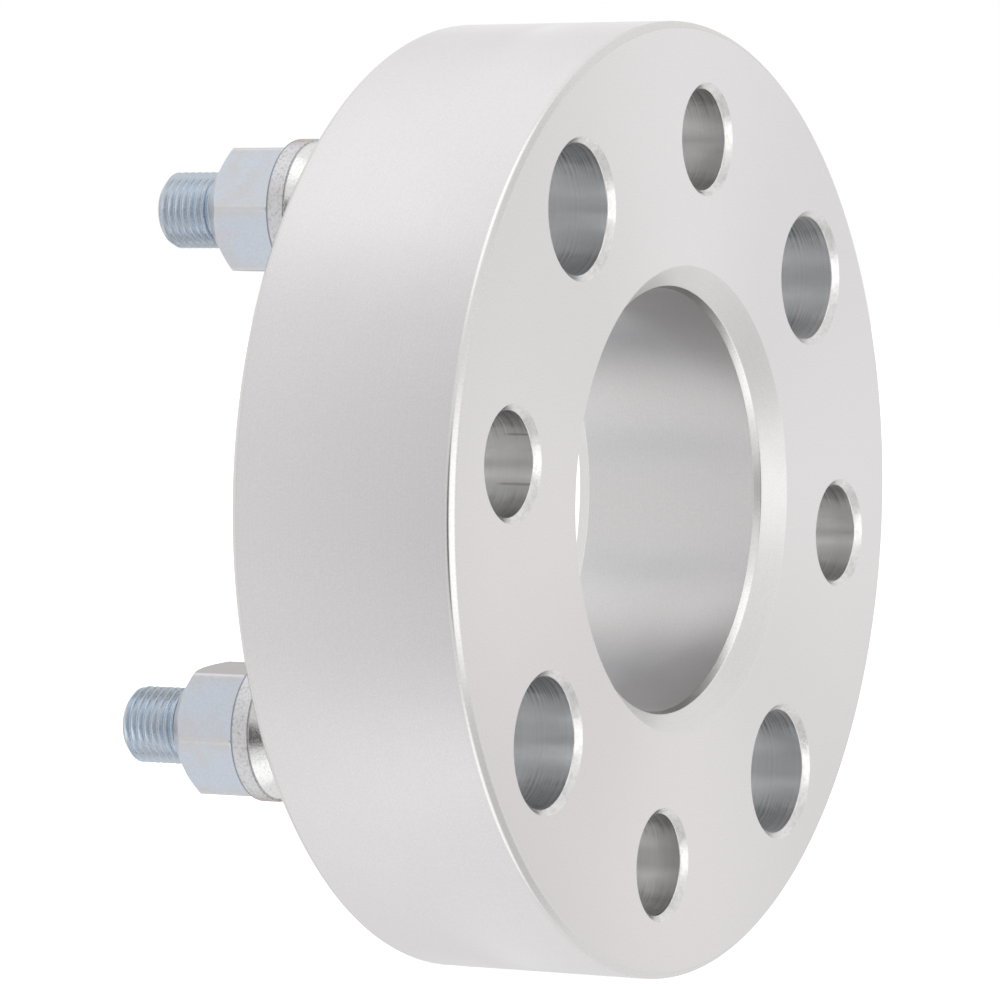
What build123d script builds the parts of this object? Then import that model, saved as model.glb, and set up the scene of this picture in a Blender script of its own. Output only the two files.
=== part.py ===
from build123d import *
import math
import os

# Bolt-on wheel spacer for a four-lug hub, with pressed-in wheel studs and their lug nuts.
# Millimetres. The origin is the centre of the bore on the hub-side face.
# +Y points outboard, toward the wheel, and +Z points up.

# Body
body_d = 150.0
body_t = 38.1
rim_chamfer = 1.0

# Centre bore
bore_d = 66.5
bore_chamfer = 3.55
bore_lead_length = 0.85
bore_lead_rise = 0.4

# Bolt circle, shared by the hub holes and the wheel studs
bolt_circle_d = 114.3
lug_count = 4
clocking = -7.7

# Hub holes, each with a conical seat at the foot of a lug nut pocket
hub_hole_d = 15.875
hub_seat_d = 21.0
seat_cone_angle = 60.0
nut_pocket_d = 28.0
nut_pocket_floor = 16.0
hole_break = 1.0

# Wheel stud holes, counterbored from the hub side
stud_bore_d = 20.0
stud_bore_depth = 18.0
stud_hole_d = 12.9
stud_hole_exit_chamfer = 0.8

# Wheel studs
stud_head_d = 19.0
stud_head_t = 5.0
knurl_length = 9.0
knurl_teeth = 24
knurl_tooth_height = 0.35
press_clearance = 0.02
stud_thread_d = 11.9
stud_length = 54.4
stud_tip_chamfer = 1.0

# Lug nuts
nut_across_flats = 19.0
nut_end_d = 13.6
nut_end_length = 3.6
nut_hex_length = 12.8
nut_collar_d = 22.0
nut_collar_t = 2.9
nut_seat_d = 21.2
nut_seat_length = 5.4
nut_to_body = 2.8
thread_clearance = 0.05
nut_turns = (41.0, 58.9, 5.9, 23.0)

# Values that follow from the sizes above
bolt_circle_r = bolt_circle_d / 2
lug_step = 360 / lug_count
stud_clocking = clocking + lug_step / 2
knurl_crest_r = stud_hole_d / 2 - press_clearance
knurl_root_r = knurl_crest_r - knurl_tooth_height
seat_slope = math.tan(math.radians(seat_cone_angle / 2))
stud_seat_y = stud_bore_depth
stud_tip_y = stud_seat_y + stud_length
nut_foot_y = body_t + nut_to_body
nut_collar_y = nut_foot_y + nut_seat_length
nut_hex_y = nut_collar_y + nut_collar_t
nut_end_y = nut_hex_y + nut_hex_length
nut_corner_r = nut_across_flats / math.sqrt(3)
nut_foot_r = nut_seat_d / 2 - nut_seat_length * seat_slope
nut_bore_r = stud_thread_d / 2 + thread_clearance

# Planes parallel to the faces. Their local x is +X and their local y is +Z.
hub_face = Plane.XZ
wheel_face = Plane.XZ.offset(-body_t)

# The pocket floors look outboard, so their local y is -Z
pocket_floor = Plane((0, nut_pocket_floor, 0), x_dir=(1, 0, 0), z_dir=(0, 1, 0))

os.makedirs("parts", exist_ok=True)


# The body: a turned disc, bored through and drilled on one bolt circle
with BuildPart() as spacer_body:
    with BuildSketch(hub_face):
        Circle(body_d / 2)
        Circle(bore_d / 2, mode=Mode.SUBTRACT)
    extrude(amount=-body_t)
    rounds = spacer_body.edges().filter_by(GeomType.CIRCLE).sort_by(SortBy.RADIUS)
    chamfer(rounds[:2], bore_chamfer)
    chamfer(rounds[-2:], rim_chamfer)

    # A steep lead between the hub-side chamfer and the wall, for the hub's pilot
    with BuildSketch(Plane.XY):
        with BuildLine():
            Polyline(
                (bore_d / 2, bore_chamfer - bore_lead_rise),
                (bore_d / 2 + bore_lead_rise, bore_chamfer - bore_lead_rise),
                (bore_d / 2, bore_chamfer + bore_lead_length),
                close=True,
            )
        make_face()
    revolve(axis=Axis.Y, mode=Mode.SUBTRACT)

    # Lug nut pockets, open toward the wheel
    with BuildSketch(wheel_face):
        with PolarLocations(bolt_circle_r, lug_count, start_angle=clocking):
            Circle(nut_pocket_d / 2)
    extrude(amount=body_t - nut_pocket_floor, mode=Mode.SUBTRACT)

    # Hub holes with their conical seats, cut from the pocket floors toward the hub
    with Locations(pocket_floor), PolarLocations(bolt_circle_r, lug_count, start_angle=-clocking):
        CounterSinkHole(
            hub_hole_d / 2,
            hub_seat_d / 2,
            depth=body_t,
            counter_sink_angle=seat_cone_angle,
        )

    # Stud holes, counterbored from the hub side for the stud heads
    with Locations(hub_face), PolarLocations(bolt_circle_r, lug_count, start_angle=stud_clocking):
        CounterBoreHole(stud_hole_d / 2, stud_bore_d / 2, stud_bore_depth, depth=body_t)

    # Broken edges of the holes on the hub face, and lead chamfers where the studs come out
    hub_edges = spacer_body.faces().sort_by(Axis.Y)[0].edges().filter_by(GeomType.CIRCLE)
    chamfer(hub_edges.filter_by(lambda e: e.radius <= stud_bore_d / 2 + 0.1), hole_break)
    wheel_edges = spacer_body.faces().sort_by(Axis.Y)[-1].edges().filter_by(GeomType.CIRCLE)
    stud_exits = wheel_edges.filter_by(lambda e: abs(e.radius - stud_hole_d / 2) < 0.1)
    chamfer(stud_exits, stud_hole_exit_chamfer)

spacer_body.part.label = "spacer_body"
export_step(spacer_body.part, "parts/spacer_body.step")


# One wheel stud on the Y axis: a head, a knurled shoulder and a thread
with BuildPart() as wheel_stud:
    with BuildSketch(Plane.XY):
        with BuildLine():
            Polyline(
                (0, stud_seat_y - stud_head_t),
                (stud_head_d / 2, stud_seat_y - stud_head_t),
                (stud_head_d / 2, stud_seat_y),
                (stud_thread_d / 2, stud_seat_y),
                (stud_thread_d / 2, stud_tip_y - stud_tip_chamfer),
                (stud_thread_d / 2 - stud_tip_chamfer, stud_tip_y),
                (0, stud_tip_y),
                close=True,
            )
        make_face()
    revolve(axis=Axis.Y)

    # Knurl teeth that meet at their roots, pressed into the wall of the stud hole
    half_tooth = math.pi / knurl_teeth
    root_x = knurl_root_r * math.cos(half_tooth)
    root_y = knurl_root_r * math.sin(half_tooth)
    with BuildSketch(Plane.XZ.offset(-stud_seat_y)):
        with PolarLocations(0, knurl_teeth):
            Polygon((0, 0), (root_x, -root_y), (knurl_crest_r, 0), (root_x, root_y), align=None)
    extrude(amount=-knurl_length)


# One lug nut on the Y axis: a hexagon, a collar and a conical seat toward the wheel
with BuildPart() as lug_nut:
    with BuildSketch(Plane.XZ.offset(-nut_hex_y)):
        RegularPolygon(nut_corner_r, 6)
    extrude(amount=-nut_hex_length)

    # The outer end is turned to a cone that cuts the six corners
    with BuildSketch(Plane.XY):
        with BuildLine():
            Polyline(
                (0, nut_hex_y),
                (nut_corner_r, nut_hex_y),
                (nut_corner_r, nut_end_y - nut_end_length),
                (nut_end_d / 2, nut_end_y),
                (0, nut_end_y),
                close=True,
            )
        make_face()
    revolve(axis=Axis.Y, mode=Mode.INTERSECT)

    # Collar and seat
    with BuildSketch(Plane.XY):
        with BuildLine():
            Polyline(
                (0, nut_hex_y),
                (nut_collar_d / 2, nut_hex_y),
                (nut_collar_d / 2, nut_collar_y),
                (nut_seat_d / 2, nut_collar_y),
                (nut_foot_r, nut_foot_y),
                (0, nut_foot_y),
                close=True,
            )
        make_face()
    revolve(axis=Axis.Y)

    # Threaded bore, plain here
    with Locations(Plane.XZ.offset(-nut_foot_y)):
        Hole(nut_bore_r)


# A stud and a nut at each place between two hub holes
for number in range(1, lug_count + 1):
    angle = stud_clocking + lug_step * (number - 1)
    x = bolt_circle_r * math.cos(math.radians(angle))
    z = bolt_circle_r * math.sin(math.radians(angle))

    stud = Pos(x, 0, z) * Rot(0, -angle, 0) * wheel_stud.part
    stud.label = f"wheel_stud_{number}"
    export_step(stud, f"parts/wheel_stud_{number}.step")

    nut = Pos(x, 0, z) * Rot(0, -nut_turns[number - 1], 0) * lug_nut.part
    nut.label = f"lug_nut_{number}"
    export_step(nut, f"parts/lug_nut_{number}.step")
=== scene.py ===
"""Looks of a bolt-on wheel spacer: a turned aluminium body, wheel studs and lug nuts.

Every piece is built in the CAD frame, in metres: the origin is the centre of the bore on the
hub-side face, +Y points outboard along the bore and +Z points up. Sizes are written in
millimetres and turned into metres where the meshes are made.
"""

import logging
import math
from dataclasses import dataclass
from enum import Enum, IntEnum

import bmesh
import bpy
from mathutils import Matrix, Vector


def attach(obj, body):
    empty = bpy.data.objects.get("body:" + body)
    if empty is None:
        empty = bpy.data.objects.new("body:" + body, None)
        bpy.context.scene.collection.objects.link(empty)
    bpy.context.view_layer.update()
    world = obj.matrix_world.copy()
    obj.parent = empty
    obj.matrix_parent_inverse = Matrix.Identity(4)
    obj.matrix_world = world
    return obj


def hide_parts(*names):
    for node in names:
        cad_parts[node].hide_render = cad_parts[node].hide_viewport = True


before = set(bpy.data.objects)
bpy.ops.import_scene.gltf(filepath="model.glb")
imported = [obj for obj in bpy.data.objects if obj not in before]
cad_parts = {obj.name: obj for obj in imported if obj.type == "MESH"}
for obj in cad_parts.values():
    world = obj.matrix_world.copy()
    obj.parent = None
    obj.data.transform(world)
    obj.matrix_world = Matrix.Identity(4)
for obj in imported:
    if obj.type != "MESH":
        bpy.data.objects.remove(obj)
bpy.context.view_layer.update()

log = logging.getLogger("wheel_spacer")

Socket = bpy.types.NodeSocket
Form = bmesh.types.BMesh
Piece = bpy.types.Object
Triple = tuple[float, float, float]

MM = 0.001
AXIS = Vector((0.0, 1.0, 0.0))

# Points closer than this, in metres, are one point
WELD = 1e-7

# A place this close to a height, in millimetres, is at it
TOUCH = 0.05

# Share of a face's normal along the axis above which the face is square to it
SQUARE = 0.9999
NEARLY_SQUARE = 0.98

# The same share above which it belongs to the end of a stud or a nut
END_SLOPE = 0.4

# Lays a form that stands along Z down along the axis
ONTO_AXIS = Matrix.Rotation(math.radians(90), 4, "X")

# Angle between a corner of a hexagon and the middle of a flat
HALF_FLAT = math.radians(30)


class Zone(IntEnum):
    """Material index of each kind of surface on the body."""

    SIDE = 0
    FACE = 1
    BORE = 2
    CHAMFER = 3
    DRILLED = 4
    MOUTH = 5
    LEAD = 6
    COUNTERBORE = 7
    RIM = 8


# Share of a face's normal along the axis above which it belongs to a sloping zone
SLOPES = {Zone.MOUTH: 0.2, Zone.RIM: 0.15, Zone.CHAMFER: 0.5, Zone.LEAD: 0.12}


class NutZone(IntEnum):
    """Material index of each kind of surface on a lug nut."""

    HEX = 0
    COLLAR = 1
    SEAT = 2
    END = 3


class StudZone(IntEnum):
    """Material index of each kind of surface on a wheel stud."""

    THREAD = 0
    HEAD = 1
    TIP = 2


class HoleKind(Enum):
    """The two kinds of hole on the bolt circle."""

    HUB = "hub"
    STUD = "stud"


# Mesh tools


def lathe(profile: list[tuple[float, ...]], segments: int, rounding: float = 0.0) -> Form:
    """Spin a closed profile about the Y axis.

    Args:
        profile: (radius, y) corners in millimetres, in order, each with its own rounding after
            them where that differs.
        segments: steps of the full turn.
        rounding: width in millimetres of the small bevel on corners away from the axis.

    Returns:
        A closed mesh with outward normals.
    """
    mesh = bmesh.new()
    corners = [mesh.verts.new((corner[0] * MM, corner[1] * MM, 0.0)) for corner in profile]
    for start, end in zip(corners, corners[1:] + corners[:1]):
        mesh.edges.new((start, end))
    widths = [corner[2] if len(corner) > 2 else rounding for corner in profile]
    for width in sorted({w for w in widths if w}):
        soft = [v for v, w in zip(corners, widths) if w == width and v.co.x > WELD]
        bmesh.ops.bevel(mesh, geom=soft, offset=width * MM, offset_type="OFFSET", segments=3,
                        profile=0.5, affect="VERTICES", clamp_overlap=True, material=-1)
    bmesh.ops.spin(mesh, geom=mesh.verts[:] + mesh.edges[:], cent=(0, 0, 0), axis=AXIS,
                   angle=math.tau, steps=segments, use_merge=True)
    bmesh.ops.remove_doubles(mesh, verts=mesh.verts, dist=WELD)
    bmesh.ops.recalc_face_normals(mesh, faces=mesh.faces)
    return mesh


def to_object(mesh: Form, name: str) -> Piece:
    """Turn a bmesh into an object at the origin.

    Args:
        mesh: the bmesh, which is freed.
        name: name of the object.

    Returns:
        The linked object.
    """
    data = bpy.data.meshes.new(name)
    mesh.to_mesh(data)
    mesh.free()
    made = bpy.data.objects.new(name, data)
    bpy.context.scene.collection.objects.link(made)
    return made


def combine(target: Piece, tools: list[Piece], operation: str) -> None:
    """Apply boolean operations to an object and remove the tools.

    Args:
        target: the object that is changed.
        tools: closed objects, used one after the other.
        operation: DIFFERENCE, UNION or INTERSECT.
    """
    for tool in tools:
        step = target.modifiers.new(operation.title(), "BOOLEAN")
        step.operation = operation
        step.solver = "EXACT"
        step.object = tool
    settle(target)
    for tool in tools:
        bpy.data.objects.remove(tool)


def settle(target: Piece) -> None:
    """Replace an object's mesh with the result of its modifiers.

    Args:
        target: the object that is changed.
    """
    bpy.context.view_layer.update()
    graph = bpy.context.evaluated_depsgraph_get()
    result = bpy.data.meshes.new_from_object(target.evaluated_get(graph), depsgraph=graph)
    target.modifiers.clear()
    before = target.data
    target.data = result
    result.name = target.name
    bpy.data.meshes.remove(before)


def mark_places(target: Piece, name: str, centres: list[Vector]) -> None:
    """Store each point's place from the nearest of some centres, in millimetres.

    Args:
        target: the object.
        name: name of the attribute.
        centres: the centres, in metres. Only their x and z tell which one is nearest.
    """
    places = []
    for vertex in target.data.vertices:
        flat = Vector((vertex.co.x, 0.0, vertex.co.z))
        centre = min(centres, key=lambda c: (c - flat).length_squared)
        places.extend((vertex.co - centre) / MM)
    stored = target.data.attributes.new(name, "FLOAT_VECTOR", "POINT")
    stored.data.foreach_set("vector", places)


def shade(target: Piece, sharp_degrees: float) -> None:
    """Shade smooth up to an angle, with normals that keep large faces flat.

    Faces square to the axis keep their own normal at every corner, and so do the small rounded
    edges where they meet such a face.

    Args:
        target: the object that is changed.
        sharp_degrees: edges above this angle stay sharp.
    """
    target.data.polygons.foreach_set("use_smooth", [True] * len(target.data.polygons))
    target.data.set_sharp_from_angle(angle=math.radians(sharp_degrees))
    weighted = target.modifiers.new("Flat faces", "WEIGHTED_NORMAL")
    weighted.mode = "FACE_AREA"
    weighted.keep_sharp = True
    settle(target)
    data = target.data
    level = {v: face.normal.copy() for face in data.polygons if abs(face.normal.y) > SQUARE
             for v in face.vertices}
    limit = math.cos(math.radians(sharp_degrees))
    normals = [Vector(corner.vector) for corner in data.corner_normals]
    for face in data.polygons:
        for loop in face.loop_indices:
            flat = level.get(data.loops[loop].vertex_index)
            if flat is not None and flat.dot(face.normal) > limit:
                normals[loop] = flat
    data.normals_split_custom_set(normals)


# Node tools


class Nodes:
    """A small builder for shader node trees."""

    def __init__(self, tree: bpy.types.NodeTree) -> None:
        """Empty the tree that is filled."""
        self.tree = tree
        tree.nodes.clear()

    def add(self, kind: str, settings: dict | None = None, *values, **inputs) -> bpy.types.Node:
        """Add a node.

        Args:
            kind: the node's type name.
            settings: properties of the node.
            values: values or sockets for the inputs in use, in order.
            inputs: values or sockets by input name, with _ for a space.

        Returns:
            The node.
        """
        node = self.tree.nodes.new(kind)
        for key, value in (settings or {}).items():
            setattr(node, key, value)
        in_use = [socket for socket in node.inputs if socket.enabled]
        for socket, value in zip(in_use, values):
            self.feed(socket, value)
        for key, value in inputs.items():
            self.feed(node.inputs[key.replace("_", " ")], value)
        return node

    def feed(self, socket: Socket, value) -> None:
        """Link a socket or set its value.

        Args:
            socket: the input.
            value: another socket, or a plain value.
        """
        if isinstance(value, Socket):
            self.tree.links.new(value, socket)
        else:
            socket.default_value = value

    def math(self, operation: str, *values) -> Socket:
        """The result of a Math node, from numbers or sockets."""
        return self.add("ShaderNodeMath", {"operation": operation}, *values).outputs[0]

    def vector(self, operation: str, *values) -> Socket:
        """The vector of a Vector Math node, or its number where the operation gives one."""
        result = "Value" if operation in ("DOT_PRODUCT", "LENGTH") else "Vector"
        return self.add("ShaderNodeVectorMath", {"operation": operation}, *values).outputs[result]

    def span(self, value, low: float, high: float, to_low: float = 0.0, to_high: float = 1.0,
             smooth: bool = False) -> Socket:
        """A value from low to high taken to the range from to_low to to_high, and clamped.

        Args:
            value: number or socket.
            low: start of the range read.
            high: end of the range read.
            to_low: result at low.
            to_high: result at high.
            smooth: whether the steps are eased.

        Returns:
            The mapped socket.
        """
        kind = "SMOOTHSTEP" if smooth else "LINEAR"
        node = self.add("ShaderNodeMapRange", {"interpolation_type": kind}, Value=value,
                        From_Min=low, From_Max=high, To_Min=to_low, To_Max=to_high)
        return node.outputs["Result"]

    def noise(self, vector, scale: float, detail: float, roughness: float,
              dimensions: str = "3D") -> Socket:
        """A Noise Texture's value, about 0.5 on average.

        Args:
            vector: coordinates, or a number for one dimension.
            scale: noise scale.
            detail: octaves.
            roughness: weight of the fine octaves.
            dimensions: 1D or 3D.

        Returns:
            The value socket.
        """
        node = self.add("ShaderNodeTexNoise", {"noise_dimensions": dimensions}, Scale=scale,
                        Detail=detail, Roughness=roughness)
        self.feed(node.inputs["W" if dimensions == "1D" else "Vector"], vector)
        return node.outputs["Fac"]

    def mix(self, factor, first, second) -> Socket:
        """The first colour at factor 0, and the second at factor 1."""
        return self.add("ShaderNodeMix", {"data_type": "RGBA"}, factor, first, second).outputs[2]

    def tone(self, colour, factor) -> Socket:
        """A colour times a number or a socket."""
        return self.vector("SCALE", colour, factor)

    def varied(self, colour, pattern, low: float, high: float) -> Socket:
        """A colour times low where a noise is low, and times high where it is high."""
        return self.mix(self.span(pattern, 0.3, 0.7), self.tone(colour, low),
                        self.tone(colour, high))

    def split(self, vector) -> tuple[Socket, ...]:
        """The three parts of a vector."""
        return tuple(self.add("ShaderNodeSeparateXYZ", Vector=vector).outputs)

    def join(self, x, y, z) -> Socket:
        """A vector from three numbers or sockets."""
        return self.add("ShaderNodeCombineXYZ", X=x, Y=y, Z=z).outputs[0]

    def outward(self, x, z) -> Socket:
        """The direction away from the Y axis."""
        return self.vector("NORMALIZE", self.join(x, 0.0, z))

    def stored(self, name: str) -> tuple[Socket, ...]:
        """The three parts of a place that mark_places stored."""
        node = self.add("ShaderNodeAttribute", {"attribute_name": name})
        return self.split(node.outputs["Vector"])

    def edge_on(self) -> Socket:
        """How far the surface is seen edge-on, from 0 to 1."""
        return self.add("ShaderNodeLayerWeight", Blend=0.5).outputs["Facing"]

    def bump(self, height, distance: float, below=None) -> Socket:
        """A bumped normal.

        Args:
            height: socket between 0 and 1.
            distance: depth in metres of a full step.
            below: the normal that it lies on.

        Returns:
            The normal socket.
        """
        node = self.add("ShaderNodeBump", Height=height, Distance=distance)
        if below is not None:
            self.feed(node.inputs["Normal"], below)
        return node.outputs[0]


@dataclass(frozen=True)
class Texture:
    """What a finish gives to its shader.

    Attributes:
        colour: the base colour.
        wear: pattern that the roughness follows.
        less: how far the roughness falls below the finish's own.
        more: how far it rises above it.
        normal: the bumped normal.
        tangent: direction across the lay, where it is given.
    """

    colour: Socket
    wear: Socket
    less: float
    more: float
    normal: Socket
    tangent: Socket | None = None


@dataclass(frozen=True)
class Finish:
    """A procedural finish. Each subclass has a texture of its own.

    Attributes:
        name: name of the material.
        colour: base colour, linear.
        roughness: roughness of the bare surface.
        anisotropy: how far the reflection is drawn out across the lay.
    """

    name: str
    colour: Triple
    roughness: float
    anisotropy: float = 0.0

    def build(self) -> bpy.types.Material:
        """Make the material.

        Returns:
            The material, with its node tree.
        """
        material = bpy.data.materials.new(self.name)
        material.use_nodes = True
        nodes = Nodes(material.node_tree)
        place = nodes.add("ShaderNodeTexCoord").outputs["Object"]
        texture = self.texture(nodes, nodes.vector("SCALE", place, 1.0 / MM))
        roughness = nodes.span(texture.wear, 0.3, 0.7, self.roughness - texture.less,
                               self.roughness + texture.more)
        shader = nodes.add("ShaderNodeBsdfPrincipled", Metallic=1.0, Anisotropic=self.anisotropy,
                           Base_Color=texture.colour, Roughness=roughness, Normal=texture.normal)
        if texture.tangent is not None:
            nodes.feed(shader.inputs["Tangent"], texture.tangent)
        nodes.add("ShaderNodeOutputMaterial", Surface=shader.outputs[0])
        log.info("finish %s", self.name)
        return material

    def texture(self, nodes: Nodes, place: Socket) -> Texture:
        """The texture, from object coordinates in millimetres."""
        raise NotImplementedError

    def tint(self, factor: float) -> tuple[float, ...]:
        """The base colour times a factor, with alpha 1."""
        return (*(min(c * factor, 1.0) for c in self.colour), 1.0)

    def mottled(self, nodes: Nodes, mottle: Socket, grain: Socket, depth: float) -> Socket:
        """The base colour with a faint broad mottle, and a fine grain of some contrast."""
        colour = nodes.mix(mottle, self.tint(0.985), self.tint(1.015))
        return nodes.varied(colour, grain, 1.0 - depth, 1.0 + depth)


@dataclass(frozen=True)
class TurnedFinish(Finish):
    """Aluminium turned on a lathe about the Y axis, with fine lines around it.

    Attributes:
        line_depth: depth of the turning lines in metres.
        line_scale: lines per millimetre, roughly.
        slant_shade: painted shade: the share of the colour left where the surface is seen at a
            slant.
        side_shade: painted shade: how much darker the side facing -X is, most at the hub side.
        mouth: how much painted light a bore has at its hub-side mouth, above and below the middle.
        uneven: depth in metres of broad unevenness left by a hand tool.
        patchy: contrast of blotches about a millimetre wide.
    """

    line_depth: float = 0.000002
    line_scale: float = 3.0
    slant_shade: float = 1.0
    side_shade: float = 0.0
    mouth: float = 0.0
    uneven: float = 0.0
    patchy: float = 0.0

    def texture(self, nodes: Nodes, place: Socket) -> Texture:
        """Lines run around the axis, and a faint mottle lies over them."""
        x, y, z = nodes.split(place)
        around = nodes.outward(x, z)
        mottle = nodes.noise(place, 0.09, 4.0, 0.6)
        lines = nodes.noise(nodes.math("MULTIPLY_ADD", mottle, 0.15, y), self.line_scale, 3.0,
                            0.7, "1D")
        colour = self.mottled(nodes, mottle, nodes.noise(place, 3.4, 2.0, 0.6), 0.04)
        colour = nodes.varied(colour, lines, 0.985, 1.01)
        # Painted shade: the side facing -X is darkened, most at the hub side, fading out 34 mm
        # outboard.
        if self.side_shade:
            shaded_toward, shade_length = (-0.985, 0.0, 0.17), 34.0
            toward = nodes.vector("DOT_PRODUCT", around, shaded_toward)
            painted_shade = nodes.math("MULTIPLY", nodes.span(toward, 0.74, 0.99, smooth=True),
                               nodes.span(y, 0.0, shade_length, self.side_shade, 0.0))
            colour = nodes.mix(painted_shade, colour, nodes.tone(colour, 0.0))
        if self.patchy:
            blotch = nodes.noise(nodes.vector("MULTIPLY", place, (1.0, 2.2, 1.0)), 0.8, 4.0, 0.65)
            dark = tuple(1.0 - share * self.patchy for share in (1.0, 1.1, 1.2))
            colour = nodes.mix(nodes.span(blotch, 0.36, 0.56),
                               nodes.vector("MULTIPLY", colour, dark), colour)
        # Painted light: the bore wall is lighter near its hub-side mouth, above and below the
        # middle, and a little darker deeper in.
        if self.mouth:
            rise = nodes.math("ABSOLUTE", nodes.split(around)[2])
            near = nodes.math("MULTIPLY", nodes.span(rise, 0.35, 0.75, smooth=True),
                              nodes.span(y, 4.0, 18.0, self.mouth, -0.02))
            colour = nodes.tone(colour, nodes.math("ADD", near, 1.0))
        # Painted shade: the colour is darkened where the surface is seen at a slant.
        if self.slant_shade < 1.0:
            facing = nodes.edge_on()
            slant = nodes.math("SUBTRACT", nodes.span(facing, 0.12, 0.40, smooth=True),
                               nodes.span(facing, 0.55, 0.90, 0.0, 0.3))
            colour = nodes.mix(slant, colour, nodes.tone(colour, self.slant_shade))
        normal = nodes.bump(lines, self.line_depth)
        if self.uneven:
            normal = nodes.bump(nodes.noise(place, 0.9, 3.0, 0.6), self.uneven, below=normal)
        return Texture(colour, mottle, 0.02, 0.02, normal)


@dataclass(frozen=True)
class FacedFinish(Finish):
    """Aluminium faced flat, with a faint mottle, a painted sheen that turns with the lay and
    painted shade.

    Attributes:
        sheen: how much lighter the four beams of the painted sheen are.
        shade: how much darker the painted shade makes the side away from shade_from.
        shade_from: angle in degrees of the lightest side.
        rim_shade: how much darker the painted shade makes the shaded side at the rim.
        rim: radii in millimetres between which that painted shade grows toward the rim.
        warmth: what the side in painted shade is multiplied by.
        lay_depth: depth in metres of the lay.
    """

    sheen: float = 0.03
    shade: float = 0.026
    shade_from: float = 48.0
    rim_shade: float = 0.03
    rim: tuple[float, float] = (62.0, 75.0)
    warmth: Triple = (1.0, 0.987, 0.975)
    lay_depth: float = 0.0000008

    def texture(self, nodes: Nodes, place: Socket) -> Texture:
        """The lay is around the axis and nearly out of sight."""
        x, _, z = nodes.split(place)
        radius = nodes.vector("LENGTH", nodes.join(x, 0.0, z))
        turn = nodes.math("ARCTAN2", z, x)
        mottle = nodes.noise(place, 0.06, 4.0, 0.6)
        colour = self.mottled(nodes, mottle, nodes.noise(place, 3.0, 2.0, 0.6), 0.035)
        # Painted sheen and painted shade: four lighter beams around the face, and the side away
        # from shade_from darker and warmer, most at the rim.
        beams = nodes.math("COSINE", nodes.math("MULTIPLY", turn, 4.0))
        lit = nodes.math("COSINE", nodes.math("SUBTRACT", turn, math.radians(self.shade_from)))
        away = nodes.math("MULTIPLY_ADD", lit, -0.5, 0.5)
        change = nodes.math("MULTIPLY_ADD", beams, self.sheen,
                            nodes.math("MULTIPLY_ADD", lit, self.shade, 1.0))
        at_rim = nodes.math("MULTIPLY", away, nodes.span(radius, *self.rim, 0.0, self.rim_shade))
        colour = nodes.tone(colour, nodes.math("SUBTRACT", change, at_rim))
        colour = nodes.mix(away, colour, nodes.vector("MULTIPLY", colour, self.warmth))
        lay = nodes.noise(radius, 2.2, 3.0, 0.7, "1D")
        return Texture(colour, mottle, 0.02, 0.02, nodes.bump(lay, self.lay_depth),
                       nodes.outward(x, z))


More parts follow.
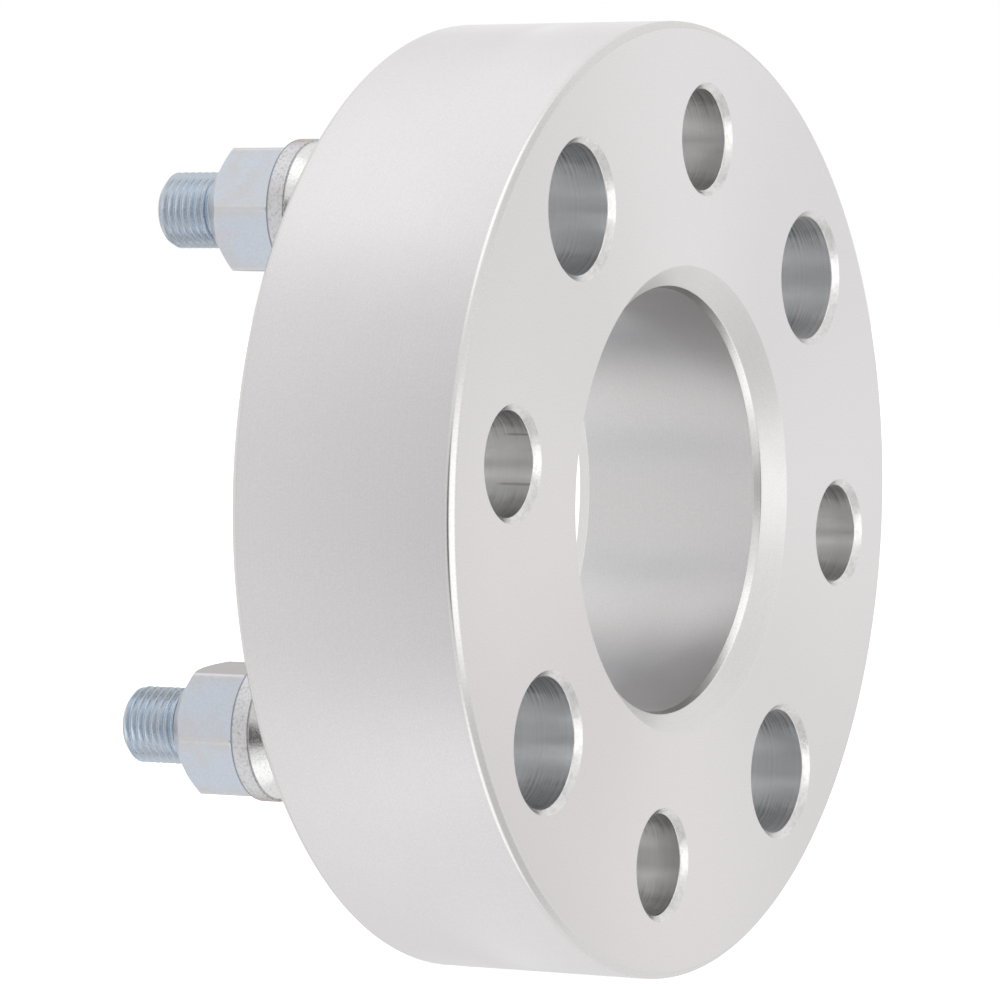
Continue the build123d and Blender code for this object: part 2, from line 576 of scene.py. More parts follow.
@dataclass(frozen=True)
class DrilledFinish(Finish):
    """The wall of a drilled hole, with rings left by the tool.

    The rings show in the colour above and below mid-height, more above than below: the tool's
    real rings, drawn there with a painted highlight. Painted shade darkens the wall at
    mid-height and near its highest and lowest places.

    Attributes:
        ring_scale: rings per millimetre, roughly.
        ring_depth: depth of the rings in metres.
        sway: how far the rings wander, in millimetres.
        painted_dim: what is left of the colour where the wall is in painted shade.
        scratches: (angle in degrees, length in millimetres) of axial scratches.
        scratched_x: the scratches are in the hole on the -X side of this, in millimetres.
    """

    ring_scale: float = 3.0
    ring_depth: float = 0.00006
    sway: float = 0.8
    painted_dim: float = 0.74
    scratches: tuple[tuple[float, float], ...] = ()
    scratched_x: float = -48.0

    def texture(self, nodes: Nodes, place: Socket) -> Texture:
        """Rings lie across the hole's axis, and scratches lie along it."""
        x, y, z = nodes.split(place)
        across, depth, up = nodes.stored("hole")
        turn = nodes.math("ARCTAN2", up, across)
        rings = self.rings(nodes, place, nodes.math("MULTIPLY_ADD", turn, 0.05, y))
        smear = nodes.noise(nodes.join(x, nodes.math("MULTIPLY", y, 0.5), z), 0.4, 3.0, 0.6)
        height = nodes.math("SINE", turn)
        steep = nodes.math("MULTIPLY_ADD", smear, 0.16, nodes.math(
            "SUBTRACT", nodes.math("ABSOLUTE", height), 0.08))
        # The rings are coloured only in bands above and below mid-height, in places lighter than
        # the bare wall: real rings with a painted highlight.
        shown = nodes.math("MULTIPLY", nodes.span(steep, 0.44, 0.7, 0.12, 1.0),
                           nodes.span(smear, 0.36, 0.54, 0.5, 1.0))
        shown = nodes.math("MULTIPLY", shown, nodes.span(height, -0.6, 0.0, 0.6, 1.0))
        cut = nodes.mix(nodes.span(rings, 0.36, 0.58), self.tint(0.5), self.tint(1.12))
        colour = nodes.mix(shown, self.tint(1.0), cut)
        # Painted shade darkens the wall at mid-height and near its highest and lowest places.
        colour = nodes.mix(nodes.span(steep, 0.1, 0.36, smooth=True),
                           nodes.tone(colour, self.painted_dim), colour)
        colour = nodes.mix(nodes.span(steep, 0.58, 0.8, smooth=True), colour,
                           nodes.tone(colour, self.painted_dim))
        for degrees, length in self.scratches:
            off = nodes.math("ABSOLUTE", nodes.math("SUBTRACT", turn, math.radians(degrees)))
            off = nodes.math("MULTIPLY_ADD", smear, 0.03, off)
            line = nodes.math("MULTIPLY", nodes.span(off, 0.016, 0.05, 1.0, 0.0),
                              nodes.span(depth, length - 1.5, length, 1.0, 0.0))
            inside = nodes.span(x, self.scratched_x, self.scratched_x + 1.0, 0.6, 0.0)
            colour = nodes.mix(nodes.math("MULTIPLY", line, inside), colour, self.tint(0.3))
        return Texture(colour, smear, 0.04, 0.04, nodes.bump(rings, self.ring_depth))

    def rings(self, nodes: Nodes, place: Socket, along: Socket) -> Socket:
        """Coarse and fine rings that wander a little.

        Args:
            nodes: the builder.
            place: object coordinates in millimetres.
            along: place along the hole in millimetres.

        Returns:
            The pattern.
        """
        wander = nodes.math("MULTIPLY", nodes.noise(place, 0.12, 2.0, 0.5), self.sway)
        along = nodes.math("ADD", along, wander)
        coarse = nodes.noise(along, 0.8, 2.0, 0.5, "1D")
        fine = nodes.noise(along, self.ring_scale, 2.0, 0.6, "1D")
        return nodes.math("MULTIPLY_ADD", coarse, 0.35, nodes.math("MULTIPLY", fine, 0.65))


@dataclass(frozen=True)
class ZincFinish(Finish):
    """Zinc plate on steel, with faint warm stains and fine pits.

    Attributes:
        stain: colour of the stains.
        staining: how strong the stains are.
        pits: how strong the pits are.
        shadow_line_y: height in millimetres of a dark line of painted shadow around the piece, if
            any.
        shadow_line_colour: colour of that line.
        corners: how strongly the hexagon's corners are stained.
        crown_colour: colour of the pale line along each corner's crown.
        uneven: depth in metres of the broad unevenness.
        edge_on_shade: painted shade: how far it goes darker and warmer where it is seen edge-on.
        edge_on_tint: what it is multiplied by there.
    """

    stain: Triple = (0.70, 0.65, 0.62)
    staining: float = 0.4
    pits: float = 0.0
    shadow_line_y: float | None = None
    shadow_line_colour: Triple = (0.16, 0.2, 0.28)
    corners: float = 0.0
    crown_colour: Triple = (0.88, 0.87, 0.87)
    uneven: float = 0.00005
    edge_on_shade: float = 1.0
    edge_on_tint: Triple = (0.72, 0.64, 0.58)

    def texture(self, nodes: Nodes, place: Socket) -> Texture:
        """Stains, grain and pits at three scales."""
        patches = nodes.noise(place, 0.22, 3.0, 0.5)
        grain = nodes.noise(place, 2.6, 4.0, 0.6)
        specks = nodes.noise(place, 1.9, 5.0, 0.65)
        plate = nodes.mix(nodes.span(grain, 0.3, 0.7), self.tint(0.93), self.tint(1.05))
        colour = nodes.mix(nodes.span(patches, 0.45, 0.75, 0.0, self.staining, smooth=True),
                           plate, (*self.stain, 1.0))
        if self.corners:
            colour = self.cornered(nodes, place, colour)
        hollow = nodes.span(specks, 0.5, 0.7, 0.0, self.pits)
        colour = nodes.mix(hollow, colour, self.tint(0.3))
        # Painted shade: darker and warmer where the surface is seen edge-on.
        colour = nodes.mix(nodes.span(nodes.edge_on(), 0.55, 0.85, 0.0, self.edge_on_shade), colour,
                           nodes.vector("MULTIPLY", colour, self.edge_on_tint))
        # Painted shadow: a dark line around the piece at the given height, where the collar meets
        # the hexagon.
        if self.shadow_line_y is not None:
            off = nodes.math("ABSOLUTE", nodes.math("SUBTRACT", nodes.split(place)[1], self.shadow_line_y))
            colour = nodes.mix(nodes.span(off, 0.1, 0.32, 0.75, 0.0), colour,
                               (*self.shadow_line_colour, 1.0))
        relief = nodes.math("SUBTRACT", nodes.math("MULTIPLY", grain, 0.4), hollow)
        return Texture(colour, grain, 0.04, 0.06, nodes.bump(relief, self.uneven))

    def cornered(self, nodes: Nodes, place: Socket, colour: Socket) -> Socket:
        """Stained bands along the hexagon's corners, with a pale line along each crown.

        Args:
            nodes: the builder.
            place: object coordinates in millimetres.
            colour: the colour under them.

        Returns:
            The colour with them.
        """
        across, _, up = nodes.stored("nut")
        off = nodes.math("PINGPONG", nodes.math("ARCTAN2", up, across), HALF_FLAT)
        for scale, sway, low, high, strength, shown in (
                (0.5, 0.3, 0.13, 0.34, self.corners, self.stain),
                (1.1, 0.07, 0.035, 0.1, 0.5, self.crown_colour)):
            ragged = nodes.math("MULTIPLY_ADD", nodes.noise(place, scale, 3.0, 0.6), sway, off)
            colour = nodes.mix(nodes.span(ragged, low, high, strength, 0.0, smooth=True), colour,
                               (*shown, 1.0))
        return colour


# The object


class Part:
    """A part of the spacer, whose faces take their finish by zone.

    Attributes:
        sharp_degrees: edges above this angle stay sharp.
    """

    sharp_degrees: float

    def form(self) -> Piece:
        """The bare object."""
        raise NotImplementedError

    def zone_of(self, centre: Vector, normal: Vector) -> IntEnum:
        """The kind of surface at a face's centre, which is in metres, with its normal."""
        raise NotImplementedError

    def build(self, finishes: dict[IntEnum, Finish]) -> Piece:
        """Make the object, give each face the finish of its zone, and shade it.

        Args:
            finishes: a finish for each zone.

        Returns:
            The object, with its materials.
        """
        made = self.form()
        made.data.materials.clear()
        for zone in sorted(finishes):
            made.data.materials.append(finishes[zone].build())
        for face in made.data.polygons:
            face.material_index = self.zone_of(face.center, face.normal)
        shade(made, self.sharp_degrees)
        log.info("%s: %d faces", made.name, len(made.data.polygons))
        return made


@dataclass(frozen=True)
class BodySizes:
    """Sizes of the spacer body in millimetres, as in the CAD source."""

    outer_r: float = 75.0
    thickness: float = 38.1
    rim_chamfer: float = 1.0
    bore_r: float = 33.25
    bore_chamfer: float = 3.55
    lead_length: float = 0.85
    lead_rise: float = 0.4
    bolt_circle_r: float = 57.15
    clocking: float = -7.7
    hub_hole_r: float = 7.9375
    hub_seat_r: float = 10.5
    seat_half_angle: float = 30.0
    pocket_r: float = 14.0
    pocket_floor: float = 16.0
    hole_break: float = 1.0
    counterbore_r: float = 10.0
    counterbore_depth: float = 18.0
    stud_hole_r: float = 6.45
    stud_exit: float = 0.8
    lug_count: int = 4

    def angles(self, kind: HoleKind) -> list[float]:
        """Angles of the holes of one kind in degrees, from +X toward +Z."""
        step = 360 / self.lug_count
        past = step / 2 if kind is HoleKind.STUD else 0.0
        return [self.clocking + step * number + past for number in range(self.lug_count)]

    def centres(self, kind: HoleKind) -> list[Vector]:
        """Centres of the holes of one kind on the hub-side face, in metres."""
        turns = [math.radians(angle) for angle in self.angles(kind)]
        return [Vector((math.cos(turn), 0.0, math.sin(turn))) * self.bolt_circle_r * MM
                for turn in turns]


@dataclass
class SpacerBody(Part):
    """The turned and drilled body.

    Attributes:
        sizes: its dimensions.
        steps: steps of the outer turn.
        hole_steps: steps of a hole's turn.
        edge: width of the small roundings.
        rim_edge: width of the softer roundings where the rim chamfers meet the faces.
        side_edge: width of the roundings where they meet the side.
        over: how far the tools reach past the faces.
        margin: how far from the faces a place is surely inside.
    """

    sizes: BodySizes
    sharp_degrees: float = 32.0
    steps: int = 360
    hole_steps: int = 96
    edge: float = 0.12
    rim_edge: float = 0.40
    side_edge: float = 0.36
    over: float = 2.0
    margin: float = 0.5

    def blank(self) -> Form:
        """The turned ring before drilling.

        Returns:
            The closed mesh.
        """
        s = self.sizes
        profile = [
            (s.bore_r + s.lead_rise, s.bore_chamfer - s.lead_rise),
            (s.bore_r, s.bore_chamfer + s.lead_length),
            (s.bore_r, s.thickness - s.bore_chamfer),
            (s.bore_r + s.bore_chamfer, s.thickness),
            (s.outer_r - s.rim_chamfer, s.thickness, self.rim_edge),
            (s.outer_r, s.thickness - s.rim_chamfer, self.side_edge),
            (s.outer_r, s.rim_chamfer, self.side_edge),
            (s.outer_r - s.rim_chamfer, 0.0, self.rim_edge),
            (s.bore_r + s.bore_chamfer, 0.0),
        ]
        return lathe(profile, self.steps, self.edge)

    def hub_tool(self) -> Form:
        """The form that a hub hole, its seat and its nut pocket remove.

        Returns:
            The closed mesh, about the Y axis.
        """
        s = self.sizes
        seat_depth = (s.hub_seat_r - s.hub_hole_r) / math.tan(math.radians(s.seat_half_angle))
        profile = [
            (0.0, -self.over),
            (s.hub_hole_r + s.hole_break + self.over, -self.over),
            (s.hub_hole_r, s.hole_break),
            (s.hub_hole_r, s.pocket_floor - seat_depth),
            (s.hub_seat_r, s.pocket_floor),
            (s.pocket_r, s.pocket_floor),
            (s.pocket_r, s.thickness + self.over),
            (0.0, s.thickness + self.over),
        ]
        return lathe(profile, self.hole_steps, self.edge)

    def stud_tool(self) -> Form:
        """The form that a stud hole and its counterbore remove.

        Returns:
            The closed mesh, about the Y axis.
        """
        s = self.sizes
        profile = [
            (0.0, -self.over),
            (s.counterbore_r + s.hole_break + self.over, -self.over),
            (s.counterbore_r, s.hole_break),
            (s.counterbore_r, s.counterbore_depth),
            (s.stud_hole_r, s.counterbore_depth),
            (s.stud_hole_r, s.thickness - s.stud_exit),
            (s.stud_hole_r + s.stud_exit + self.over, s.thickness + self.over),
            (0.0, s.thickness + self.over),
        ]
        return lathe(profile, self.hole_steps, self.edge)

    def zone_of(self, centre: Vector, normal: Vector) -> Zone:
        """The kind of surface that a face belongs to."""
        s = self.sizes
        y, slope = centre.y / MM, abs(normal.y)
        flat = Vector((centre.x, 0.0, centre.z))
        inside = self.margin < y < s.thickness - self.margin
        for kind, reach in ((HoleKind.HUB, s.pocket_r), (HoleKind.STUD, s.counterbore_r)):
            gap = min((flat - middle).length for middle in s.centres(kind)) / MM
            if gap < reach + s.hole_break and (slope < NEARLY_SQUARE or inside):
                if y < s.hole_break + TOUCH and slope > SLOPES[Zone.MOUTH]:
                    return Zone.MOUTH
                return Zone.DRILLED if kind is HoleKind.HUB else Zone.COUNTERBORE
        if slope > NEARLY_SQUARE:
            return Zone.FACE
        if flat.length / MM > s.outer_r - s.rim_chamfer - self.margin:
            return Zone.RIM if slope > SLOPES[Zone.RIM] else Zone.SIDE
        if slope > SLOPES[Zone.CHAMFER]:
            return Zone.CHAMFER
        return Zone.LEAD if slope > SLOPES[Zone.LEAD] else Zone.BORE

    def form(self) -> Piece:
        """The ring with its eight holes, in place."""
        body = to_object(self.blank(), "spacer_body_looks")
        tools = []
        for kind, form in ((HoleKind.HUB, self.hub_tool), (HoleKind.STUD, self.stud_tool)):
            for number, centre in enumerate(self.sizes.centres(kind)):
                tool = form()
                bmesh.ops.translate(tool, verts=tool.verts, vec=centre)
                tools.append(to_object(tool, f"{kind.value}_tool_{number}"))
        combine(body, tools, "DIFFERENCE")
        return body


@dataclass(frozen=True)
class StudSizes:
    """Sizes of a wheel stud in millimetres, as in the CAD source."""

    head_r: float = 9.5
    head_y: float = 13.0
    seat_y: float = 18.0
    knurl_length: float = 9.0
    knurl_r: float = 6.43
    knurl_height: float = 0.35
    knurl_teeth: int = 24
    thread_r: float = 5.95
    pitch: float = 1.25
    thread_depth: float = 0.72
    tip_y: float = 72.4
    tip_chamfer: float = 1.0


@dataclass
class WheelStud(Part):
    """A press-in stud with a rolled thread.

    Attributes:
        sizes: its dimensions.
        steps: steps of a turn.
        head_edge: width of the head's roundings.
        clear: how far the envelope stands off the thread.
        lap: how far the knurl reaches into the head.
        sunk: how far the thread starts inside the knurl.
        joint: distance in metres at which the thread's turns are joined.
    """

    sizes: StudSizes
    sharp_degrees: float = 38.0
    steps: int = 72
    head_edge: float = 0.4
    clear: float = 1.0
    lap: float = 0.5
    sunk: float = 0.3
    joint: float = 2e-6

    def thread(self) -> Form:
        """The threaded length, longer than needed at both ends.

        Returns:
            The closed mesh.
        """
        s = self.sizes
        crest, root, p = s.thread_r, s.thread_r - s.thread_depth, s.pitch
        start = s.seat_y + s.knurl_length - 2 * p
        turns = math.ceil((s.tip_y - start) / p) + 2
        flank = [(root, 0.0), (root + 0.03, 0.10), (crest - 0.06, 0.40), (crest, 0.46)]
        tooth = flank + [(r, 1.0 - share) for r, share in reversed(flank)]
        mesh = bmesh.new()
        corners = [mesh.verts.new((r * MM, (start + share * p) * MM, 0.0)) for r, share in tooth]
        for one, two in zip(corners, corners[1:]):
            mesh.edges.new((one, two))
        steps = self.steps * turns
        bmesh.ops.spin(mesh, geom=mesh.verts[:] + mesh.edges[:], cent=(0, 0, 0), axis=AXIS,
                       angle=math.tau * turns, steps=steps, dvec=AXIS * p * MM / self.steps)
        bmesh.ops.remove_doubles(mesh, verts=mesh.verts, dist=self.joint)
        low, high = start + 1.5 * p, s.tip_y + 0.2
        for level, outer in ((low, False), (high, True)):
            bmesh.ops.bisect_plane(mesh, geom=mesh.verts[:] + mesh.edges[:] + mesh.faces[:],
                                   dist=WELD, plane_co=(0, level * MM, 0), plane_no=AXIS,
                                   clear_outer=outer, clear_inner=not outer)
        bmesh.ops.holes_fill(mesh, edges=[e for e in mesh.edges if e.is_boundary], sides=0)
        bmesh.ops.recalc_face_normals(mesh, faces=mesh.faces)
        return mesh

    def envelope(self) -> Form:
        """The turned form that the thread is cut from, with its chamfered tip.

        Returns:
            The closed mesh.
        """
        s = self.sizes
        foot = s.seat_y + s.knurl_length - self.sunk
        profile = [
            (0.0, foot),
            (s.thread_r + self.clear, foot),
            (s.thread_r + self.clear, s.tip_y - s.tip_chamfer - self.clear),
            (s.thread_r - s.tip_chamfer, s.tip_y),
            (0.0, s.tip_y),
        ]
        return lathe(profile, self.steps)

    def head(self) -> Form:
        """The head.

        Returns:
            The closed mesh.
        """
        s = self.sizes
        profile = [(0.0, s.head_y), (s.head_r, s.head_y), (s.head_r, s.seat_y), (0.0, s.seat_y)]
        return lathe(profile, self.steps, self.head_edge)

    def knurl(self) -> Form:
        """The knurled shoulder: a star of teeth drawn along the axis.

        Returns:
            The closed mesh.
        """
        s = self.sizes
        mesh = bmesh.new()
        ring = bmesh.ops.create_circle(mesh, cap_ends=True, radius=s.knurl_r * MM,
                                       segments=2 * s.knurl_teeth, matrix=ONTO_AXIS)["verts"]
        ordered = sorted(ring, key=lambda v: math.atan2(v.co.z, v.co.x))
        for root in ordered[1::2]:
            root.co *= (s.knurl_r - s.knurl_height) / s.knurl_r
        bmesh.ops.translate(mesh, verts=mesh.verts, vec=AXIS * (s.seat_y - self.lap) * MM)
        grown = bmesh.ops.extrude_face_region(mesh, geom=mesh.faces[:])
        moved = [v for v in grown["geom"] if isinstance(v, bmesh.types.BMVert)]
        bmesh.ops.translate(mesh, verts=moved, vec=AXIS * (s.knurl_length + self.lap) * MM)
        bmesh.ops.recalc_face_normals(mesh, faces=mesh.faces)
        return mesh

    def zone_of(self, centre: Vector, normal: Vector) -> StudZone:
        """The kind of surface that a face belongs to."""
        s, y = self.sizes, centre.y / MM
        if y < s.seat_y + TOUCH:
            return StudZone.HEAD
        beyond = y > s.tip_y - s.tip_chamfer - 2 * TOUCH and normal.y > END_SLOPE
        return StudZone.TIP if beyond else StudZone.THREAD

    def form(self) -> Piece:
        """One stud on the Y axis."""
        stud = to_object(self.thread(), "wheel_stud_form")
        combine(stud, [to_object(self.envelope(), "envelope")], "INTERSECT")
        combine(stud, [to_object(self.knurl(), "knurl"), to_object(self.head(), "head")], "UNION")
        return stud


@dataclass(frozen=True)
class NutSizes:
    """Sizes of a lug nut in millimetres, as in the CAD source."""

    across_flats: float = 19.0
    end_r: float = 6.8
    end_length: float = 3.6
    end_y: float = 62.0
    hex_y: float = 49.2
    collar_r: float = 11.0
    collar_y: float = 46.3
    seat_r: float = 10.6
    foot_r: float = 7.48
    foot_y: float = 40.9
    bore_r: float = 6.0
    countersink: float = 0.45
    turns: tuple[float, ...] = (41.0, 58.9, 5.9, 23.0)

    @property
    def corner_r(self) -> float:
        """Radius of the hexagon's corners."""
        return self.across_flats / math.sqrt(3)


@dataclass
class LugNut(Part):
    """A hex nut with a collar and a conical seat.

    Attributes:
        sizes: its dimensions.
        steps: steps of a turn.
        hex_edge: width of the hexagon's roundings.
        end_edge: width of the roundings of the turned end.
        base_edge: width of the roundings of the collar and the seat.
        clear: how far the form of the turned end stands off the corners.
        lap: how far the collar reaches into the hexagon.
    """

    sizes: NutSizes
    sharp_degrees: float = 28.0
    steps: int = 144
    hex_edge: float = 0.45
    end_edge: float = 0.1
    base_edge: float = 0.14
    clear: float = 0.5
    lap: float = 0.4

    def hexagon(self) -> Form:
        """The hex prism, with one corner on +X.

        Returns:
            The closed mesh.
        """
        s = self.sizes
        mesh = bmesh.new()
        middle = Matrix.Translation(AXIS * (s.hex_y + s.end_y) / 2 * MM)
        bmesh.ops.create_cone(mesh, cap_ends=True, segments=6, radius1=s.corner_r * MM,
                              radius2=s.corner_r * MM, depth=(s.end_y - s.hex_y) * MM,
                              matrix=middle @ ONTO_AXIS @ Matrix.Rotation(HALF_FLAT, 4, "Z"))
        bmesh.ops.bevel(mesh, geom=mesh.edges[:], offset=self.hex_edge * MM, offset_type="OFFSET",
                        segments=4, profile=0.5, affect="EDGES", clamp_overlap=True, material=-1)
        return mesh

    def turned(self) -> Form:
        """The form that turns the hexagon's outer end to a cone, with the bore through it.

        Returns:
            The closed mesh.
        """
        s = self.sizes
        slope = (s.corner_r - s.end_r) / s.end_length
        outer, foot = s.corner_r + self.clear, s.hex_y - 1.0
        profile = [
            (s.bore_r, foot),
            (outer, foot),
            (outer, s.end_y - s.end_length - self.clear / slope),
            (s.end_r, s.end_y),
            (s.bore_r + s.countersink, s.end_y),
            (s.bore_r, s.end_y - s.countersink),
        ]
        return lathe(profile, self.steps, self.end_edge)

    def base(self) -> Form:
        """The collar and the seat.

        Returns:
            The closed mesh.
        """
        s = self.sizes
        neck = s.seat_r - 1.4
        profile = [
            (s.bore_r, s.hex_y + self.lap),
            (neck, s.hex_y + self.lap),
            (neck, s.hex_y),
            (s.collar_r, s.hex_y),
            (s.collar_r, s.collar_y),
            (s.seat_r, s.collar_y),
            (s.foot_r, s.foot_y),
            (s.bore_r + s.countersink, s.foot_y),
            (s.bore_r, s.foot_y + s.countersink),
        ]
        return lathe(profile, self.steps, self.base_edge)

    def zone_of(self, centre: Vector, normal: Vector) -> NutZone:
        """The kind of surface that a face belongs to."""
        s, y = self.sizes, centre.y / MM
        hex_foot, collar_foot = s.hex_y - 0.02, s.collar_y - 0.2
        if y > hex_foot:
            return NutZone.END if normal.y > END_SLOPE else NutZone.HEX
        return NutZone.COLLAR if y > collar_foot else NutZone.SEAT

    def form(self) -> Piece:
        """One nut on the Y axis."""
        nut = to_object(self.hexagon(), "lug_nut_form")
        combine(nut, [to_object(self.turned(), "turned")], "INTERSECT")
        combine(nut, [to_object(self.base(), "base")], "UNION")
        return nut


def set_out(form: Piece, name: str, place: Vector, turn: float) -> Piece:
    """Copy a form to its place, with the place in the mesh.

    Args:
        form: the object on the Y axis.
        name: name of the copy.
        place: where its axis meets y 0.
        turn: angle in degrees from +X toward +Z.

    Returns:
        The copy, with its object at the origin.
    """
    data = form.data.copy()
    data.name = name
    data.transform(Matrix.Translation(place) @ Matrix.Rotation(-math.radians(turn), 4, "Y"))
    made = bpy.data.objects.new(name, data)
    bpy.context.scene.collection.objects.link(made)
    return made


# The studio


@dataclass(frozen=True)
class Lobe:
    """A soft region of the surroundings.

    Attributes:
        toward: direction of its middle.
        change: what it adds to the level there.
        inner: angle in degrees inside which it is full.
        outer: angle in degrees where it ends.
    """

    toward: Triple
    change: float
    inner: float
    outer: float


@dataclass(frozen=True)
class Studio:
    """Surroundings, floor and camera.

    Attributes:
        level: brightness of the plain surroundings.
        lobes: brighter and darker regions.
        floor_z: height of the floor in millimetres, just under the rim.
        floor_half: half of the floor's width in metres.
        floor_glow: what the floor adds for the camera, so that it shows nearly white.
        azimuth: heading of the camera in degrees, from +Y toward +X as a negative angle.
        elevation: how far the camera looks down, in degrees.
        camera_mm: place of the camera.
        lens: focal length in millimetres.
        sensor: width of the camera's sensor in millimetres.
    """

    level: float = 0.82
    lobes: tuple[Lobe, ...] = ()
    floor_z: float = -75.02
    floor_half: float = 6.0
    floor_glow: float = 0.62
    azimuth: float = -61.4143
    elevation: float = 2.6223
    camera_mm: Triple = (-794.5903, -399.8904, 40.8008)
    lens: float = 204.3547
    sensor: float = 36.0

    def surround(self) -> None:
        """Light from all around, white to the camera."""
        world = bpy.data.worlds.new("Studio")
        bpy.context.scene.world = world
        world.use_nodes = True
        nodes = Nodes(world.node_tree)
        toward = nodes.add("ShaderNodeTexCoord").outputs["Generated"]
        level = self.level
        for lobe in self.lobes:
            facing = nodes.vector("DOT_PRODUCT", toward, tuple(Vector(lobe.toward).normalized()))
            part = nodes.span(facing, math.cos(math.radians(lobe.outer)),
                              math.cos(math.radians(lobe.inner)), 0.0, lobe.change, smooth=True)
            level = nodes.math("ADD", level, part)
        path = nodes.add("ShaderNodeLightPath")
        seen = nodes.math("MAXIMUM", path.outputs["Is Camera Ray"],
                          path.outputs["Is Transmission Ray"])
        shown = nodes.mix(seen, nodes.join(level, level, level), (1.0, 1.0, 1.0, 1.0))
        back = nodes.add("ShaderNodeBackground", Color=shown, Strength=1.0)
        nodes.add("ShaderNodeOutputWorld", Surface=back.outputs[0])

    def floor(self) -> Piece:
        """A wide pale floor under the rim.

        In reflections it shows the surroundings below it, so that the metal meets the same soft
        light from all sides.

        Returns:
            The floor.
        """
        mesh = bmesh.new()
        bmesh.ops.create_grid(mesh, x_segments=1, y_segments=1, size=self.floor_half,
                              matrix=Matrix.Translation((0, 0, self.floor_z * MM)))
        made = to_object(mesh, "floor")
        material = bpy.data.materials.new("Floor")
        material.use_nodes = True
        nodes = Nodes(material.node_tree)
        path = nodes.add("ShaderNodeLightPath")
        seen = nodes.math("MULTIPLY", path.outputs["Is Camera Ray"], self.floor_glow)
        lit = nodes.add("ShaderNodeBsdfDiffuse", Color=(0.8, 0.8, 0.8, 1.0))
        glow = nodes.add("ShaderNodeEmission", Color=(1.0, 1.0, 1.0, 1.0), Strength=seen)
        pale = nodes.add("ShaderNodeAddShader", None, lit.outputs[0], glow.outputs[0])
        clear = nodes.add("ShaderNodeBsdfTransparent")
        both = nodes.add("ShaderNodeMixShader", None, path.outputs["Is Glossy Ray"],
                         pale.outputs[0], clear.outputs[0])
        nodes.add("ShaderNodeOutputMaterial", Surface=both.outputs[0])
        made.data.materials.append(material)
        return made

    def camera(self) -> None:
        """A camera at the photograph's viewing angle."""
        data = bpy.data.cameras.new("Camera")
        data.lens = self.lens
        data.sensor_width = self.sensor
        data.sensor_fit = "HORIZONTAL"
        data.clip_end = 50.0
        made = bpy.data.objects.new("Camera", data)
        bpy.context.scene.collection.objects.link(made)
        made.location = Vector(self.camera_mm) * MM
        about = Matrix.Rotation(math.radians(self.azimuth), 4, "Z")
        upward = Matrix.Rotation(math.radians(90 - self.elevation), 4, "X")
        made.rotation_euler = (about @ upward).to_euler()
        bpy.context.scene.camera = made

    def build(self) -> None:
        """Set up the whole studio."""
        self.surround()
        self.floor()
        self.camera()
        bpy.context.scene.view_settings.view_transform = "Standard"
        log.info("studio ready")


def body_finishes() -> dict[Zone, Finish]:
    """The finish of each zone of the body."""
    return {
        Zone.SIDE: TurnedFinish("Turned side", (0.870, 0.852, 0.855), 0.30, 0.6, side_shade=0.11),
        Zone.RIM: TurnedFinish("Rim chamfer", (0.825, 0.808, 0.797), 0.24, 0.3, line_scale=1.5),
        Zone.FACE: FacedFinish("Faced aluminium", (0.874, 0.855, 0.858), 0.34, 0.3),
        Zone.BORE: TurnedFinish("Bored wall", (0.865, 0.852, 0.850), 0.34, 0.5, slant_shade=0.64,
                                mouth=0.15),
        Zone.CHAMFER: TurnedFinish("Turned chamfer", (0.915, 0.898, 0.890), 0.37, 0.7,
                                   uneven=0.00001),
        Zone.LEAD: TurnedFinish("Turned lead", (0.965, 0.955, 0.940), 0.26, 0.5),
        Zone.DRILLED: DrilledFinish("Drilled wall", (0.985, 0.975, 0.970), 0.32, 0.8,
                                    ring_scale=1.5, scratches=((31.7, 5.5), (-24.4, 7.0))),
        Zone.COUNTERBORE: DrilledFinish("Counterbored wall", (0.972, 0.981, 0.994), 0.36, 0.95,
                                        ring_scale=2.2, sway=0.4),
        Zone.MOUTH: TurnedFinish("Hole mouth", (0.915, 0.900, 0.888), 0.28, 0.2,
                                 line_depth=0.00001, line_scale=5.0, uneven=0.00006,
                                 patchy=0.13),
    }


def stud_finishes() -> dict[StudZone, Finish]:
    """The finish of each zone of a stud."""
    return {
        StudZone.THREAD: ZincFinish("Zinc thread", (0.61, 0.69, 0.78), 0.23, staining=0.25,
                                    uneven=0.00002),
        StudZone.HEAD: ZincFinish("Zinc head", (0.80, 0.82, 0.84), 0.42),
        # The tip's zinc is painted much lighter than the thread's: a painted highlight on its
        # chamfer and end.
        StudZone.TIP: ZincFinish("Zinc tip", (0.90, 0.91, 0.92), 0.22, staining=0.2),
    }


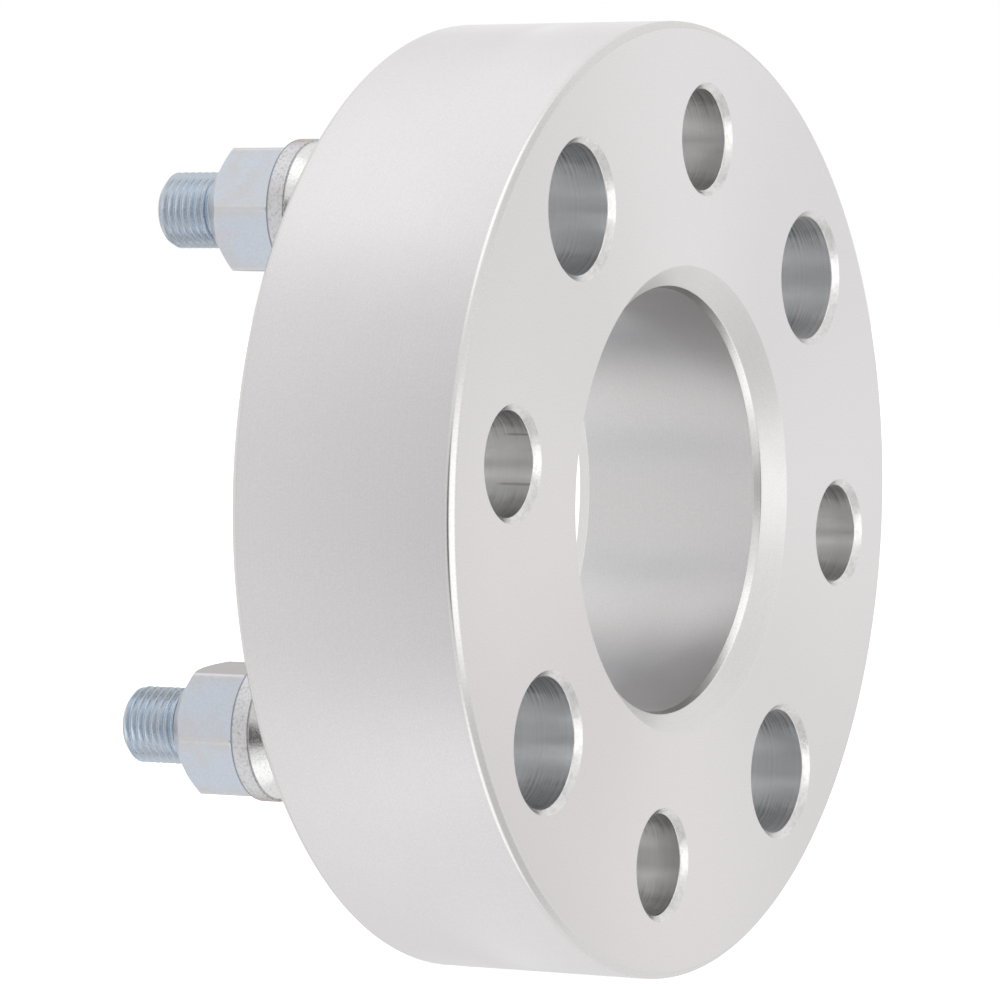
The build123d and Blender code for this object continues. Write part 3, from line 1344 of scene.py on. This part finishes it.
def nut_finishes(sizes: NutSizes) -> dict[NutZone, Finish]:
    """The finish of each zone of a nut, with a dark line of painted shadow under its hexagon."""
    return {
        NutZone.HEX: ZincFinish("Zinc hex", (0.69, 0.735, 0.81), 0.36, staining=0.45,
                                corners=0.45),
        NutZone.COLLAR: ZincFinish("Zinc collar", (0.80, 0.80, 0.82), 0.42, staining=0.5,
                                   pits=0.5, shadow_line_y=sizes.hex_y - 0.12),
        NutZone.SEAT: ZincFinish("Polished seat", (0.88, 0.88, 0.87), 0.18, staining=0.1,
                                 pits=0.2, uneven=0.00004, edge_on_shade=0.0),
        NutZone.END: ZincFinish("Zinc end", (0.78, 0.79, 0.82), 0.40, staining=0.5,
                                edge_on_shade=0.1),
    }


def main() -> None:
    """Build every piece, hand it to the frame and set up the studio."""
    logging.basicConfig(level=logging.INFO, format="%(name)s: %(message)s")
    sizes = BodySizes()
    body = SpacerBody(sizes).build(body_finishes())
    mark_places(body, "hole", [c for kind in HoleKind for c in sizes.centres(kind)])
    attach(body, "root")
    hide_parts("spacer_body")

    stud_form = WheelStud(StudSizes()).build(stud_finishes())
    nut_sizes = NutSizes()
    nut_form = LugNut(nut_sizes).build(nut_finishes(nut_sizes))
    mark_places(nut_form, "nut", [Vector()])
    places = zip(sizes.centres(HoleKind.STUD), sizes.angles(HoleKind.STUD), nut_sizes.turns)
    for number, (place, stud_turn, nut_turn) in enumerate(places, 1):
        stud = set_out(stud_form, f"wheel_stud_{number}_looks", place, stud_turn)
        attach(stud, "root")
        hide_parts(f"wheel_stud_{number}")
        nut = set_out(nut_form, f"lug_nut_{number}_looks", place, nut_turn)
        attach(nut, "root")
        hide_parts(f"lug_nut_{number}")
        log.info("wheel stud and lug nut %d set out", number)
    for form in (stud_form, nut_form):
        bpy.data.objects.remove(form)

    Studio(lobes=(
        Lobe((-0.88, 0.45, 0.05), -0.10, 5.0, 45.0),
        Lobe((-0.54, 0.48, 0.69), -0.07, 4.0, 16.0),
        Lobe((-0.68, 0.48, -0.55), -0.06, 4.0, 14.0),
        Lobe((-0.876, -0.48, -0.08), -0.72, 9.0, 25.0),
        Lobe((-0.46, -0.88, -0.09), 0.50, 9.0, 28.0),
        Lobe((0.86, 0.48, 0.18), 0.13, 4.0, 16.0),
        Lobe((0.1, 0.4, 1.0), 0.10, 10.0, 50.0),
        Lobe((-0.35, -0.12, 0.93), 0.40, 12.0, 32.0),
        Lobe((-0.35, -0.12, -0.93), 0.40, 12.0, 32.0),
        Lobe((0.0, -0.64, -0.77), -0.20, 8.0, 34.0),
        Lobe((0.15, -0.62, 0.77), -0.12, 5.0, 22.0),
    )).build()


if __name__ == "__main__":
    main()
